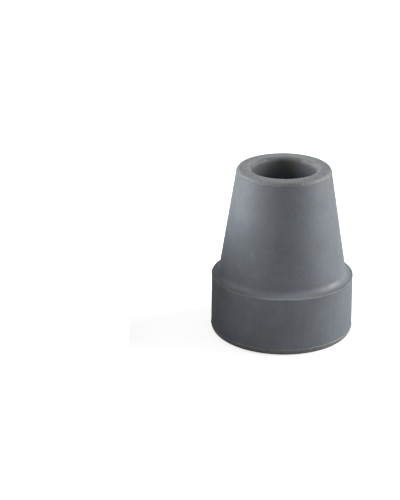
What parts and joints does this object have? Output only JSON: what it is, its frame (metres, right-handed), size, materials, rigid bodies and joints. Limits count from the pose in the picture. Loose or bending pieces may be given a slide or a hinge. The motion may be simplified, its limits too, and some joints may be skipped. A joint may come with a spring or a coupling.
{
  "type": "rubber cane tip",
  "caption": "Grey rubber tip for a walking cane: a tapered neck with a blind socket for the shaft, on a wide round base with a ring-grooved anti-slip tread.",
  "frame": {"origin": "centre of the tread, on the floor that the tip stands on", "axes": "+Z along the socket's axis, out of its mouth, the way the cane's shaft leaves; the tip is round about Z, so X and Y are free"},
  "size_m": [0.0414, 0.0414, 0.05],
  "materials": {
    "grey_rubber": "matte moulded rubber, faintly dusty, with pale trimmed flash lines"
  },
  "bodies": {
    "root": {"cane_tip": "grey_rubber"}
  },
  "joints": []
}
